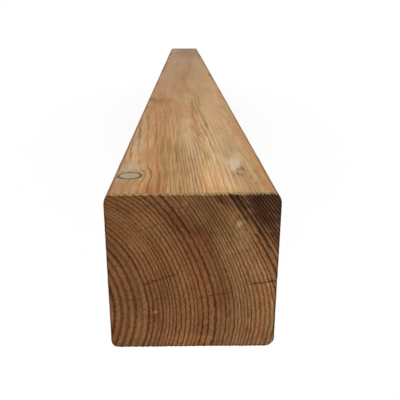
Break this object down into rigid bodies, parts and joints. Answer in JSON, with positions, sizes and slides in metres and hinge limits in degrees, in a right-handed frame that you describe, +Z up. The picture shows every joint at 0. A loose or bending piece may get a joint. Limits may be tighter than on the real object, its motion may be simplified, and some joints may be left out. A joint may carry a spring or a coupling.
{
  "type": "treated fence post",
  "caption": "Square softwood fence post, pressure treated brown, planed with eased long arrises and sawn square at both ends.",
  "frame": {"origin": "under the middle of the post, on the level that it rests on", "axes": "+Y along the grain from the foot to the head, +X across the width, +Z up out of the face that lies uppermost"},
  "size_m": [0.1, 1.8, 0.1],
  "materials": {
    "treated_softwood": "planed, dry, brown preservative treatment"
  },
  "bodies": {
    "root": {"post": "treated_softwood"}
  },
  "joints": []
}
